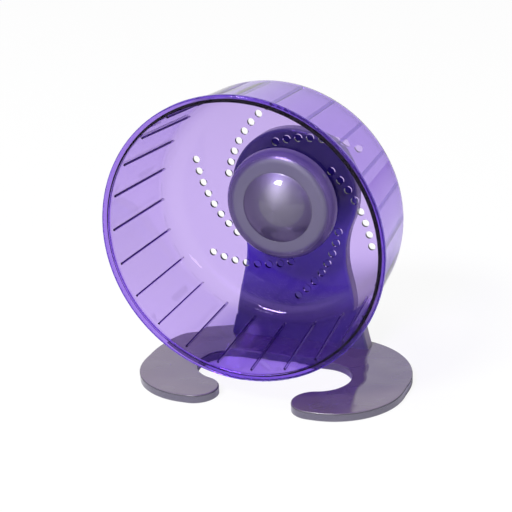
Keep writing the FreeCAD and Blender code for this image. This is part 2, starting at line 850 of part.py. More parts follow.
def make_wheel_drum():
    body = new_body("wheel_drum")
    wall = size.wall_thickness
    rim = -size.rim_depth
    spread = (wall_front_radius - wall_back_radius) / (size.rim_depth - wall / 2)
    lean_cos = as_term(1) / root(spread * spread + 1)
    lean_sin = spread * lean_cos
    tangent = size.corner_radius * (root(spread * spread + 1) - spread)
    corner_x = wall_back_radius - tangent
    corner_y = disc_front - size.corner_radius
    outer_corner = size.corner_radius + wall
    outer_front = wall_front_radius + wall / lean_cos
    lip_back = rim + size.lip_length
    disc_hole = size.housing_radius + size.housing_clearance
    lip_round = size.lip_edge_radius
    revolve(body, [
        ((wall_front_radius, rim), None),
        ((size.rim_radius - lip_round, rim), (lip_round, 1)),
        ((size.rim_radius, rim + lip_round), None),
        ((size.rim_radius, lip_back - lip_round), (lip_round, 1)),
        ((size.rim_radius - lip_round, lip_back), None),
        ((outer_front - spread * size.lip_length, lip_back), None),
        ((corner_x + outer_corner * lean_cos, corner_y + outer_corner * lean_sin), (outer_corner, 1)),
        ((corner_x, disc_back), None),
        ((disc_hole, disc_back), None),
        ((disc_hole, disc_front), None),
        ((corner_x, disc_front), (size.corner_radius, -1)),
        ((corner_x + size.corner_radius * lean_cos, corner_y + size.corner_radius * lean_sin), None),
    ])

    rib = new_sketch(body, "XY_Plane")
    turn = FreeCAD.Rotation(FreeCAD.Vector(0, -1, 0), DRIVING_SIZES["rib_phase"])
    rib.AttachmentOffset = FreeCAD.Placement(FreeCAD.Vector(0, 0, 0), turn)
    rib.setExpression("AttachmentOffset.Rotation.Angle", size.rib_phase.text)
    rib_front = rim + size.rib_front_gap
    rib_back = -size.rib_back_gap
    front_radius = wall_front_radius - spread * size.rib_front_gap
    back_radius = wall_front_radius - spread * (size.rim_depth - size.rib_back_gap)
    draw_polygon(rib, [
        (front_radius - size.rib_height, rib_front), (front_radius + size.rib_root_depth, rib_front),
        (back_radius + size.rib_root_depth, rib_back), (back_radius - size.rib_height, rib_back),
    ])
    bar = pad(body, rib, size.rib_width)
    bar.SideType = "Symmetric"
    repeat_about_axle(body, bar, RIB_COUNT)

    row = facing_sketch(body, disc_front)
    centre_x = row_centre_radius * cosine(size.row_centre_angle)
    centre_z = row_centre_radius * sine(size.row_centre_angle)
    for index in range(HOLES_PER_ROW):
        angle = size.row_start_angle + size.hole_pitch_angle * index
        x = centre_x + row_radius * cosine(angle)
        z = centre_z + row_radius * sine(angle)
        draw_circle(row, x, z, size.hole_radius)
    row_cut = pocket(body, row, wall)
    repeat_about_axle(body, row_cut, HOLE_ROWS)

    screw_holes = facing_sketch(body, disc_front)
    for x, z in polar_places(HUB_SCREW_COUNT, size.hub_screw_circle_radius):
        draw_circle(screw_holes, x, z, screw_hole)
    pocket(body, screw_holes, wall)
    move_to_axle(body)


def check_document():
    """Stop unless every object is sound, every cut takes something away and every sub-part is valid."""
    for item in doc.Objects:
        if "Invalid" in item.State or "Error" in item.State:
            raise RuntimeError(f"{item.Name} failed: {item.State}")
        if item.TypeId == "PartDesign::Pocket":
            taken = item.BaseFeature.Shape.Volume - item.Shape.Volume
            if taken <= 0:
                raise RuntimeError(f"{item.Name} cuts nothing")
    for piece in sub_parts:
        if piece.Shape.isNull() or not piece.Shape.isValid():
            raise RuntimeError(f"{piece.Label} has no valid shape")


make_base_tray()
make_foot_pads()
make_base_screws()
make_upright_shell()
make_back_cover()
make_back_cover_screws()
make_axle_bolt()
make_axle_nut()
make_axle_sleeves()
make_bearing("front", front_bearing_y)
make_bearing("rear", rear_bearing_y)
make_hub_housing()
make_hub_ring()
make_hub_dome()
make_hub_screws()
make_wheel_drum()
doc.recompute()
check_document()

os.makedirs("parts", exist_ok=True)
for piece in sub_parts:
    piece.Shape.exportStep(f"parts/{piece.Label}.step")
    print(f"{piece.Label}: {len(piece.Shape.Solids)} solids, {piece.Shape.Volume:.1f} mm3")
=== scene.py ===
"""Looks of a small-pet exercise wheel: clear violet drum, smoke-tinted stand and hub, steel bearings.

Metres, +Z up, the open side of the drum faces -Y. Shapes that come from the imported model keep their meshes
and get finishes; the hub's ring and dome are turned afresh with their moulded edges.
"""
import logging
import math
from dataclasses import dataclass
from enum import Enum

import bpy
import numpy as np
from mathutils import Matrix, Vector


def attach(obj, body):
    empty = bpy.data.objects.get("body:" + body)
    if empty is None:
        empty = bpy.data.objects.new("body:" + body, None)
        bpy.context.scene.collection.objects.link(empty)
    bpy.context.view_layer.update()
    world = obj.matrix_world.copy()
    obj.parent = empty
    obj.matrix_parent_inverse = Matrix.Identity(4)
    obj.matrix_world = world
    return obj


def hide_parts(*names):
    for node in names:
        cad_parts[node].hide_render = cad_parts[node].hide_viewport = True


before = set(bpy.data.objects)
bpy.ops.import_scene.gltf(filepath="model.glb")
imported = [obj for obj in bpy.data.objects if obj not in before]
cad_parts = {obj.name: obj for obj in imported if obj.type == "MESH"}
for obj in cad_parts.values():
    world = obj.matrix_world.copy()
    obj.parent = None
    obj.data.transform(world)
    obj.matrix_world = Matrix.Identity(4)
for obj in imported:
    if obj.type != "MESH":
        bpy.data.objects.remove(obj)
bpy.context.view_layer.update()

LOG = logging.getLogger("exercise_wheel")
MM = 0.001
TINY = 1e-9
SAME_POINT = 1e-6
Colour = tuple[float, float, float]
Place = tuple[float, float, float]
Point = tuple[float, float]
Range = tuple[float, float]
Socket = bpy.types.NodeSocket
WHITE: Colour = (1.0, 1.0, 1.0)


class Body(Enum):
    """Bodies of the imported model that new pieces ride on."""

    WHEEL = "wheel"


class Slot(Enum):
    """A material slot of the record; no piece here takes it."""

    HUB_SMOKE = "hub_smoke"


class NodeBoard:
    """Places nodes in one node tree and joins them."""

    def __init__(self, tree: bpy.types.NodeTree) -> None:
        """Keep the tree that this board fills."""
        self.tree = tree

    def feed(self, socket: Socket, value: object) -> None:
        """Give a socket its value.

        Args:
            socket: The input to fill.
            value: Another node's output, which is linked, or a constant.
        """
        if isinstance(value, Socket):
            self.tree.links.new(value, socket)
        else:
            socket.default_value = value

    def add(self, kind: str, inputs: dict[str | int, object] | None = None, **settings: object) -> bpy.types.Node:
        """Place a node.

        Args:
            kind: The node's type name.
            inputs: Input names or numbers with their values.
            **settings: Options of the node itself.

        Returns:
            The new node.
        """
        node = self.tree.nodes.new(kind)
        for name, value in settings.items():
            setattr(node, name, value)
        for name, value in (inputs or {}).items():
            self.feed(node.inputs[name], value)
        return node

    def math(self, operation: str, first: object, second: object = 0.0) -> Socket:
        """Join two values with one arithmetic step.

        Args:
            operation: Name of the step, such as MULTIPLY.
            first: A constant or an output.
            second: A constant or an output.

        Returns:
            The result's socket.
        """
        return self.add("ShaderNodeMath", {0: first, 1: second}, operation=operation).outputs[0]

    def product(self, first: Socket, *others: object) -> Socket:
        """Multiply values with each other.

        Args:
            first: An output.
            *others: Constants or outputs.

        Returns:
            The product's socket.
        """
        result = first
        for other in others:
            result = self.math("MULTIPLY", result, other)
        return result

    def spread(self, value: object, low: float, high: float, new_low: float, new_high: float) -> Socket:
        """Carry a value from one range to another and hold it there.

        Args:
            value: The output to carry over.
            low: Start of the old range.
            high: End of the old range.
            new_low: Start of the new range.
            new_high: End of the new range.

        Returns:
            The result's socket.
        """
        inputs = {"Value": value, "From Min": low, "From Max": high, "To Min": new_low, "To Max": new_high}
        return self.add("ShaderNodeMapRange", inputs).outputs["Result"]

    def below(self, length: object, edge: float, blur: float) -> Socket:
        """One where a length lies below an edge and zero above it, with a soft step between.

        Args:
            length: The length's output, in metres.
            edge: Middle of the step, in millimetres.
            blur: Half the step's width, in millimetres.

        Returns:
            The result's socket.
        """
        return self.spread(length, (edge - blur) * MM, (edge + blur) * MM, 1.0, 0.0)

    def blend(self, share: object, first: object, second: object) -> Socket:
        """Mix two colours.

        Args:
            share: Share of the second colour.
            first: A colour or an output.
            second: A colour or an output.

        Returns:
            The mixed colour's socket.
        """
        node = self.add("ShaderNodeMix", data_type="RGBA")
        self.feed(node.inputs["Factor"], share)
        self.feed(node.inputs["A"], first)
        self.feed(node.inputs["B"], second)
        return node.outputs["Result"]


def opaque(colour: Colour) -> tuple[float, float, float, float]:
    """Give a colour its full alpha."""
    return (*colour, 1.0)


def new_group(name: str, inputs: dict[str, float], outputs: tuple[str, ...]) -> NodeBoard:
    """Start a shader node group that takes a place and some values, and gives values.

    Args:
        name: Name of the group.
        inputs: Names of the values that it takes, each with a first value.
        outputs: Names of the values that it gives.

    Returns:
        A board on the group's tree.
    """
    tree = bpy.data.node_groups.new(name, "ShaderNodeTree")
    tree.interface.new_socket("Vector", in_out="INPUT", socket_type="NodeSocketVector")
    for label, value in inputs.items():
        socket = tree.interface.new_socket(label, in_out="INPUT", socket_type="NodeSocketFloat")
        socket.default_value = value
    for label in outputs:
        tree.interface.new_socket(label, in_out="OUTPUT", socket_type="NodeSocketFloat")
    return NodeBoard(tree)


class SurfaceEffects:
    """Effects that several finishes share, each built once as a node group."""

    FLOW_RANGE: Range = (0.35, 0.65)
    SCRATCH_TILT = 0.3
    SCRATCH_TURNS_AND_STRETCHES: tuple[Range, Range] = ((0.6, 9.0), (-0.9, 7.0))
    SCRATCH_WIDTH = 0.006
    SCRATCH_SHOWN: Range = (0.52, 0.62)
    FILM_RANGE: Range = (0.5, 0.75)
    SPECKLE_FINENESS = 30.0
    SPECKLE_REACH = 0.8
    SPECKLE_FLOOR = 0.35

    def __init__(self) -> None:
        """Build the groups."""
        self.moulding = self._moulding()
        self.scratches = self._scratches()
        self.handling = self._handling()

    @classmethod
    def _moulding(cls) -> bpy.types.NodeTree:
        """Skin of moulded plastic: slow flow waves plus a fine grain as a height, and the waves alone as patches.

        Returns:
            The node group.
        """
        board = new_group(
            "moulded skin", {"Flow Scale": 40.0, "Grain Scale": 1800.0, "Grain Share": 0.3}, ("Height", "Patch"))
        source = board.add("NodeGroupInput").outputs
        flow = board.add("ShaderNodeTexNoise", {
            "Vector": source["Vector"], "Scale": source["Flow Scale"], "Detail": 2.0, "Roughness": 0.45})
        grain = board.add("ShaderNodeTexNoise", {
            "Vector": source["Vector"], "Scale": source["Grain Scale"], "Detail": 1.0, "Roughness": 0.6})
        fine = board.product(grain.outputs["Fac"], source["Grain Share"])
        coarse_share = board.math("SUBTRACT", 1.0, source["Grain Share"])
        coarse = board.product(flow.outputs["Fac"], coarse_share)
        patch = board.spread(flow.outputs["Fac"], *cls.FLOW_RANGE, 0.0, 1.0)
        board.add("NodeGroupOutput", {"Height": board.math("ADD", fine, coarse), "Patch": patch})
        return board.tree

    @classmethod
    def _scratches(cls) -> bpy.types.NodeTree:
        """Sparse hairline scratches: thin bands of two stretched waves, broken up by noise.

        Returns:
            The node group.
        """
        board = new_group("hairline scratches", {"Scale": 90.0, "Amount": 0.5}, ("Mask",))
        source = board.add("NodeGroupInput").outputs
        lines = []
        for turn, stretch in cls.SCRATCH_TURNS_AND_STRETCHES:
            mapping = board.add("ShaderNodeMapping", {
                "Vector": source["Vector"], "Rotation": (cls.SCRATCH_TILT, turn, turn),
                "Scale": (stretch, 1.0, 1.0)})
            noise = board.add("ShaderNodeTexNoise", {
                "Vector": mapping.outputs["Vector"], "Scale": source["Scale"], "Detail": 3.0, "Distortion": 0.4})
            off_centre = board.math("ABSOLUTE", board.math("SUBTRACT", noise.outputs["Fac"], 0.5))
            lines.append(board.spread(off_centre, 0.0, cls.SCRATCH_WIDTH, 1.0, 0.0))
        breaks = board.add("ShaderNodeTexNoise", {
            "Vector": source["Vector"], "Scale": source["Scale"], "Detail": 1.0})
        shown = board.spread(breaks.outputs["Fac"], *cls.SCRATCH_SHOWN, 0.0, 1.0)
        both = board.math("MAXIMUM", *lines)
        board.add("NodeGroupOutput", {"Mask": board.product(both, shown, source["Amount"])})
        return board.tree

    @classmethod
    def _handling(cls) -> bpy.types.NodeTree:
        """Faint film from handling: soft patches with a finer speckle inside them.

        Returns:
            The node group.
        """
        board = new_group("handling film", {"Scale": 25.0, "Amount": 0.5}, ("Mask",))
        source = board.add("NodeGroupInput").outputs
        patch = board.add("ShaderNodeTexNoise", {
            "Vector": source["Vector"], "Scale": source["Scale"], "Detail": 4.0, "Roughness": 0.6})
        speckle_scale = board.product(source["Scale"], cls.SPECKLE_FINENESS)
        speckle = board.add("ShaderNodeTexVoronoi", {"Vector": source["Vector"], "Scale": speckle_scale})
        soft = board.spread(patch.outputs["Fac"], *cls.FILM_RANGE, 0.0, 1.0)
        dots = board.spread(speckle.outputs["Distance"], 0.0, cls.SPECKLE_REACH, 1.0, cls.SPECKLE_FLOOR)
        board.add("NodeGroupOutput", {"Mask": board.product(soft, dots, source["Amount"])})
        return board.tree


def placed(board: NodeBoard, group: bpy.types.NodeTree, inputs: dict[str, object]) -> bpy.types.NodeOutputs:
    """Place a shared effect in a material.

    Args:
        board: The material's board.
        group: The effect.
        inputs: Values of its inputs.

    Returns:
        The effect's outputs.
    """
    node = board.add("ShaderNodeGroup", node_tree=group)
    for name, value in inputs.items():
        board.feed(node.inputs[name], value)
    return node.outputs


def new_material(name: str) -> tuple[bpy.types.Material, NodeBoard]:
    """Start a material with an empty node tree.

    Args:
        name: Name of the material.

    Returns:
        The material and a board on its tree.
    """
    material = bpy.data.materials.new(name)
    material.use_nodes = True
    material.node_tree.nodes.clear()
    return material, NodeBoard(material.node_tree)


def radius_from_axle(board: NodeBoard, place: bpy.types.NodeOutputs, axle_z: float) -> Socket:
    """Distance of a point from the wheel's axle: the root of x squared plus the square of z less the axle's height.

    Args:
        board: The material's board.
        place: The separate coordinates.
        axle_z: Height of the axle in millimetres.

    Returns:
        The distance's socket, in metres.
    """
    height = board.math("SUBTRACT", place["Z"], axle_z * MM)
    across_square = board.product(place["X"], place["X"])
    return board.math("SQRT", board.math("ADD", across_square, board.product(height, height)))


@dataclass(frozen=True)
class DrumPlastic:
    """Clear plastic, tinted in its depth, polished, deeper violet in the rim, with painted shade on and behind the
    ribs.

    The tint is how much red, green and blue light each millimetre takes away. Blurs, the height over which a rib
    takes its painted shade and the depth of the outer face under the tread are in millimetres.
    """

    name: str
    drum: "Drum"
    tint_per_mm: Colour = (0.22, 0.33, 0.06)
    skin_colour: Colour = (0.875, 0.82, 0.95)
    outer_colour: Colour = (0.98, 0.90, 1.0)
    mirror_tint: Colour = (0.34, 0.26, 0.46)
    passed_light: Colour = (0.86, 0.80, 0.945)
    # painted shade: near-black violet on one flank of each rib, for the dark line that refraction draws there
    rib_shade_colour: Colour = (0.006, 0.0008, 0.05)
    # painted shade: a darker violet band on the outer face behind each rib
    band_shade_colour: Colour = (0.47, 0.35, 0.66)
    lip_colour: Colour = (0.66, 0.54, 0.92)
    ior: float = 1.5
    roughness_low: float = 0.012
    roughness_high: float = 0.05
    rib_roughness: float = 0.45
    line_blur: float = 0.1
    band_blur: float = 0.12
    rib_start: float = 0.05
    rib_full: float = 0.3
    outer_depth: float = 0.9
    flow_scale: float = 30.0
    grain_scale: float = 900.0
    grain_share: float = 0.05
    wave_depth: float = 0.000018
    bump_strength: float = 0.35
    scratch_scale: float = 60.0
    scratch_amount: float = 0.6
    film_scale: float = 18.0
    film_amount: float = 0.5

    def _pigment(self, board: NodeBoard, where: Socket) -> tuple[Socket, Socket]:
        """Colour of the skin: clear, painted shade on the matt ribs and in a band behind each, violet on the rim.

        The tread's radius falls by its lean for each unit of depth behind the rim. A point that lies inside that
        radius is on a rib. A point outside it is in the band of painted shade behind a rib where its arc from the
        rib's middle, the angle times the radius, is less than half the band's width. The same arc ends the rib's
        painted shade, which leaves its far flank clear.

        Args:
            board: The material's board.
            where: Object coordinates.

        Returns:
            The outputs of the colour and of the mask of the ribs' painted shade.
        """
        drum = self.drum
        place = board.add("ShaderNodeSeparateXYZ", {"Vector": where}).outputs
        radius = radius_from_axle(board, place, drum.axle_z)
        behind_rim = board.math("SUBTRACT", place["Y"], drum.rim_y * MM)
        fall = board.product(behind_rim, drum.tread_lean)
        tread = board.math("SUBTRACT", drum.tread_radius * MM, fall)
        inside = board.math("SUBTRACT", tread, radius)
        begun = board.math("GREATER_THAN", place["Y"], (drum.rib_front - self.line_blur) * MM)
        not_ended = board.spread(place["Y"], drum.corner_y * MM, drum.rib_back * MM, 1.0, 0.0)
        in_run = board.product(begun, not_ended)
        risen = board.spread(inside, self.rib_start * MM, self.rib_full * MM, 0.0, 1.0)
        step = 2.0 * math.pi / drum.rib_count
        angle = board.math("ARCTAN2", board.math("SUBTRACT", place["Z"], drum.axle_z * MM), place["X"])
        turned_by = board.math("SUBTRACT", angle, math.radians(drum.rib_phase) - 0.5 * step)
        off = board.math("SUBTRACT", board.math("FLOORED_MODULO", turned_by, step), 0.5 * step)
        arc = board.product(off, radius)
        near = board.below(board.math("ABSOLUTE", arc), drum.band_half, self.band_blur)
        # where the rib's painted shade ends, part way over the rib
        flank = board.below(arc, drum.rib_shade_end, self.line_blur)
        lip = board.below(place["Y"], drum.lip_back, self.line_blur)
        outer = board.math("LESS_THAN", inside, -self.outer_depth * MM)
        facing = board.math("SUBTRACT", 1.0, board.add("ShaderNodeNewGeometry").outputs["Backfacing"])
        outer_face = board.product(outer, facing)
        # painted shade: dark on the near flank of each rib, and a darker band behind each rib on the outer face
        shaded_rib_face = board.product(risen, in_run, flank, facing)
        skin = board.blend(outer_face, opaque(self.skin_colour), opaque(self.outer_colour))
        ribbed = board.blend(shaded_rib_face, skin, opaque(self.rib_shade_colour))
        banded = board.blend(board.product(near, in_run, outer_face), ribbed, opaque(self.band_shade_colour))
        return board.blend(lip, banded, opaque(self.lip_colour)), shaded_rib_face

    def build(self, effects: SurfaceEffects) -> bpy.types.Material:
        """Make the material.

        Args:
            effects: Shared effects.

        Returns:
            The material.
        """
        material, board = new_material(self.name)
        where = board.add("ShaderNodeTexCoord").outputs["Object"]
        skin = placed(board, effects.moulding, {
            "Vector": where, "Flow Scale": self.flow_scale, "Grain Scale": self.grain_scale,
            "Grain Share": self.grain_share})
        marks = placed(board, effects.scratches, {
            "Vector": where, "Scale": self.scratch_scale, "Amount": self.scratch_amount})
        film = placed(board, effects.handling, {
            "Vector": where, "Scale": self.film_scale, "Amount": self.film_amount})
        wear = board.math("MAXIMUM", marks["Mask"], film["Mask"])
        polish = board.spread(wear, 0.0, 1.0, self.roughness_low, self.roughness_high)
        # the mask of the ribs' painted shade also makes those faces matt
        colour, ribs = self._pigment(board, where)
        rough = board.math("MAXIMUM", polish, board.product(ribs, self.rib_roughness))
        bump = board.add("ShaderNodeBump", {
            "Height": skin["Height"], "Distance": self.wave_depth, "Strength": self.bump_strength})
        plastic = board.add("ShaderNodeBsdfPrincipled", {
            "Base Color": colour, "Roughness": rough, "IOR": self.ior,
            "Specular Tint": opaque(self.mirror_tint), "Transmission Weight": 1.0,
            "Normal": bump.outputs["Normal"]})
        pass_light = board.add("ShaderNodeBsdfTransparent", {"Color": opaque(self.passed_light)})
        path = board.add("ShaderNodeLightPath").outputs
        lighting = board.math("MAXIMUM", path["Is Shadow Ray"], path["Is Diffuse Ray"])
        surface = board.add("ShaderNodeMixShader", {
            0: lighting, 1: plastic.outputs["BSDF"], 2: pass_light.outputs["BSDF"]})
        density = max(self.tint_per_mm) / MM
        passed = tuple(1.0 - part / max(self.tint_per_mm) for part in self.tint_per_mm)
        depth = board.add("ShaderNodeVolumeAbsorption", {"Color": opaque(passed), "Density": density})
        board.add("ShaderNodeOutputMaterial", {
            "Surface": surface.outputs["Shader"], "Volume": depth.outputs["Volume"]})
        return material


@dataclass(frozen=True)
class TintedPlastic:
    """Moulded plastic whose colour and gloss vary a little over the surface; depths in metres."""

    name: str
    colour: Colour
    deep_colour: Colour
    roughness_low: float
    roughness_high: float
    clearness: float = 0.0
    metal: float = 0.0
    ior: float = 1.5
    coat: float = 0.0
    coat_roughness: float = 0.05
    flow_scale: float = 40.0
    grain_scale: float = 1800.0
    grain_share: float = 0.3
    grain_depth: float = 0.00006
    bump_strength: float = 0.5
    scratch_scale: float = 70.0
    film_scale: float = 30.0
    marks: float = 0.4
    spun: float = 0.0
    spun_turn: float = 0.25

    def _body(self, board: NodeBoard, where: Socket, patch: Socket, wear: Socket) -> tuple[Socket, Socket]:
        """Colour and roughness over the surface.

        Args:
            board: The material's board.
            where: Object coordinates.
            patch: Slow variation of the moulding.
            wear: Marks of handling.

        Returns:
            The outputs of the colour and the roughness.
        """
        colour = board.blend(patch, opaque(self.colour), opaque(self.deep_colour))
        return colour, board.spread(wear, 0.0, 1.0, self.roughness_low, self.roughness_high)

    def build(self, effects: SurfaceEffects) -> bpy.types.Material:
        """Make the material.

        Args:
            effects: Shared effects.

        Returns:
            The material.
        """
        material, board = new_material(self.name)
        where = board.add("ShaderNodeTexCoord").outputs["Object"]
        skin = placed(board, effects.moulding, {
            "Vector": where, "Flow Scale": self.flow_scale, "Grain Scale": self.grain_scale,
            "Grain Share": self.grain_share})
        marks = placed(board, effects.scratches, {
            "Vector": where, "Scale": self.scratch_scale, "Amount": self.marks})
        film = placed(board, effects.handling, {"Vector": where, "Scale": self.film_scale, "Amount": self.marks})
        wear = board.math("MAXIMUM", marks["Mask"], film["Mask"])
        colour, rough = self._body(board, where, skin["Patch"], wear)
        bump = board.add("ShaderNodeBump", {
            "Height": skin["Height"], "Distance": self.grain_depth, "Strength": self.bump_strength})
        plastic = board.add("ShaderNodeBsdfPrincipled", {
            "Base Color": colour, "Roughness": rough, "IOR": self.ior,
            "Metallic": self.metal, "Transmission Weight": self.clearness, "Coat Weight": self.coat,
            "Coat Roughness": self.coat_roughness, "Normal": bump.outputs["Normal"]})
        if self.spun:
            circle = board.add("ShaderNodeTangent", direction_type="RADIAL", axis="Y")
            plastic.inputs["Anisotropic"].default_value = self.spun
            plastic.inputs["Anisotropic Rotation"].default_value = self.spun_turn
            board.feed(plastic.inputs["Tangent"], circle.outputs["Tangent"])
        board.add("ShaderNodeOutputMaterial", {"Surface": plastic.outputs["BSDF"]})
        return material


@dataclass(frozen=True, kw_only=True)
class BasePlastic(TintedPlastic):
    """Smoke plastic of the base: the thin skin lets light through; painted shade on the side, a painted dark
    reflection on the edge.

    The top's height and the edge's radius are in millimetres. The skin's end and the painted dark reflection line
    are placed by their depth under the top, in shares of that radius.
    """

    top_z: float
    edge: float
    skin_full: float = 0.1
    skin_end: float = 0.5
    line_middle: float = 0.7
    line_core: float = 0.2
    line_end: float = 0.45
    # painted shade: the side's colour, darker than the top's because the side gets less light
    side_colour: Colour = (0.068, 0.053, 0.115)
    # painted reflection: a thin dark line where the rounded edge mirrors dark surroundings
    dark_edge_reflection_colour: Colour = (0.020, 0.015, 0.035)
    line_roughness: float = 1.0

    def _body(self, board: NodeBoard, where: Socket, patch: Socket, wear: Socket) -> tuple[Socket, Socket]:
        """Colour by height: the skin's on top, a painted dark reflection along the rounded edge, painted shade on
        the side.

        Args:
            board: The material's board.
            where: Object coordinates.
            patch: Slow variation of the moulding.
            wear: Marks of handling.

        Returns:
            The outputs of the colour and the roughness.
        """
        colour, rough = super()._body(board, where, patch, wear)
        height = board.add("ShaderNodeSeparateXYZ", {"Vector": where}).outputs["Z"]
        skin_end, skin_full, middle = (
            (self.top_z - share * self.edge) * MM for share in (self.skin_end, self.skin_full, self.line_middle))
        on_top = board.spread(height, skin_end, skin_full, 0.0, 1.0)
        # painted dark reflection along the rounded edge
        off_line = board.math("ABSOLUTE", board.math("SUBTRACT", height, middle))
        line = board.spread(off_line, self.line_core * self.edge * MM, self.line_end * self.edge * MM, 1.0, 0.0)
        # painted shade on the side below the top's skin
        skin = board.blend(on_top, opaque(self.side_colour), colour)
        dulled = board.math("MAXIMUM", rough, board.product(line, self.line_roughness))
        return board.blend(line, skin, opaque(self.dark_edge_reflection_colour)), dulled


@dataclass(frozen=True, kw_only=True)
class UprightPlastic(TintedPlastic):
    """Smoke plastic of the upright with painted light through the drum, bluest at the waist, and painted shade on
    the head.

    Heights are in millimetres. A surface is a flank up to one share of its normal along the axle, and a face from
    another on.
    """

    foot_z: float
    waist_z: float
    head_z: float
    flank_up_to: float = 0.35
    face_from: float = 0.65
    # painted light and shade by height on the face: violet light through the drum, strongest at the waist
    foot_colour: Colour = (0.112, 0.096, 0.215)
    waist_painted_light_colour: Colour = (0.218, 0.150, 0.76)
    flank_colour: Colour = (0.16, 0.13, 0.27)
    # painted light on the flanks towards the foot, where the leg stands outside the drum
    flank_foot_painted_light_colour: Colour = (0.32, 0.28, 0.345)

    def _body(self, board: NodeBoard, where: Socket, patch: Socket, wear: Socket) -> tuple[Socket, Socket]:
        """Colour by height: the foot's below, evenly over to the waist's painted light, then the head's painted
        shade.

        The thin flanks, whose normals lie across the wheel's axle, keep the smoke tint and lighten to the foot
        with painted light.

        Args:
            board: The material's board.
            where: Object coordinates.
            patch: Slow variation of the moulding.
            wear: Marks of handling.

        Returns:
            The outputs of the colour and the roughness.
        """
        colour, rough = super()._body(board, where, patch, wear)
        height = board.add("ShaderNodeSeparateXYZ", {"Vector": where}).outputs["Z"]
        low = board.spread(height, self.foot_z * MM, self.waist_z * MM, 0.0, 1.0)
        high = board.spread(height, self.waist_z * MM, self.head_z * MM, 0.0, 1.0)
        normal = board.add("ShaderNodeTexCoord").outputs["Normal"]
        along = board.math("ABSOLUTE", board.add("ShaderNodeSeparateXYZ", {"Vector": normal}).outputs["Y"])
        flank = board.spread(along, self.flank_up_to, self.face_from, 1.0, 0.0)
        # painted violet light up to the waist, then over to the head's painted shade
        below = board.blend(low, opaque(self.foot_colour), opaque(self.waist_painted_light_colour))
        face = board.blend(high, below, colour)
        side = board.blend(low, opaque(self.flank_foot_painted_light_colour), opaque(self.flank_colour))
        return board.blend(flank, face, side), rough


@dataclass(frozen=True, kw_only=True)
class RingPlastic(TintedPlastic):
    """Plastic of the hub's ring: a matt face, and a polished, deeper shoulder and side, sizes in millimetres."""

    axle_z: float
    face_edge: float
    edge_blend: float = 1.6
    side_colour: Colour = (0.082, 0.058, 0.165)
    side_roughness: float = 0.24

    def _body(self, board: NodeBoard, where: Socket, patch: Socket, wear: Socket) -> tuple[Socket, Socket]:
        """Colour and roughness by the distance from the axle: the face's up to its edge, then the side's.

        Args:
            board: The material's board.
            where: Object coordinates.
            patch: Slow variation of the moulding.
            wear: Marks of handling.

        Returns:
            The outputs of the colour and the roughness.
        """
        colour, rough = super()._body(board, where, patch, wear)
        place = board.add("ShaderNodeSeparateXYZ", {"Vector": where}).outputs
        radius = radius_from_axle(board, place, self.axle_z)
        side = board.spread(radius, (self.face_edge - self.edge_blend) * MM, self.face_edge * MM, 0.0, 1.0)
        polish = board.product(side, self.side_roughness)
        matt = board.product(board.math("SUBTRACT", 1.0, side), rough)
        return board.blend(side, colour, opaque(self.side_colour)), board.math("ADD", polish, matt)


@dataclass(frozen=True)
class MachinedSteel:
    """Steel with fine turning or rolling lines and a little dulling."""

    name: str
    colour: Colour
    dull_colour: Colour
    roughness_low: float
    roughness_high: float
    line_scale: float = 900.0
    line_stretch: Place = (0.15, 1.0, 0.15)
    line_depth: float = 0.00002
    bump_strength: float = 0.4
    film_scale: float = 120.0
    film_amount: float = 0.8

    def build(self, effects: SurfaceEffects) -> bpy.types.Material:
        """Make the material.

        Args:
            effects: Shared effects.

        Returns:
            The material.
        """
        material, board = new_material(self.name)
        where = board.add("ShaderNodeTexCoord").outputs["Object"]
        stretched = board.add("ShaderNodeMapping", {"Vector": where, "Scale": self.line_stretch})
        lines = board.add("ShaderNodeTexNoise", {
            "Vector": stretched.outputs["Vector"], "Scale": self.line_scale, "Detail": 2.0})
        film = placed(board, effects.handling, {
            "Vector": where, "Scale": self.film_scale, "Amount": self.film_amount})
        colour = board.blend(film["Mask"], opaque(self.colour), opaque(self.dull_colour))
        rough = board.spread(film["Mask"], 0.0, 1.0, self.roughness_low, self.roughness_high)
        bump = board.add("ShaderNodeBump", {
            "Height": lines.outputs["Fac"], "Distance": self.line_depth, "Strength": self.bump_strength})
        steel = board.add("ShaderNodeBsdfPrincipled", {
            "Base Color": colour, "Roughness": rough, "Metallic": 1.0, "Normal": bump.outputs["Normal"]})
        board.add("ShaderNodeOutputMaterial", {"Surface": steel.outputs["BSDF"]})
        return material


class SharedFinishes:
    """The shared effects, and the plated steel of every screw and of the axle's small parts."""

    def __init__(self) -> None:
        """Build the effects and the steel."""
        self.effects = SurfaceEffects()
        self.zinc = MachinedSteel(
            "zinc_plated_steel", (0.66, 0.66, 0.68), (0.50, 0.50, 0.50),
            roughness_low=0.25, roughness_high=0.45).build(self.effects)


def put_on(finish: bpy.types.Material, *nodes: str) -> None:
    """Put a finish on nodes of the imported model.

    Args:
        finish: The material.
        *nodes: Names of the nodes.
    """
    for name in nodes:
        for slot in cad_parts[name].material_slots:
            slot.material = finish
        LOG.info("dressed %s with %s", name, finish.name)


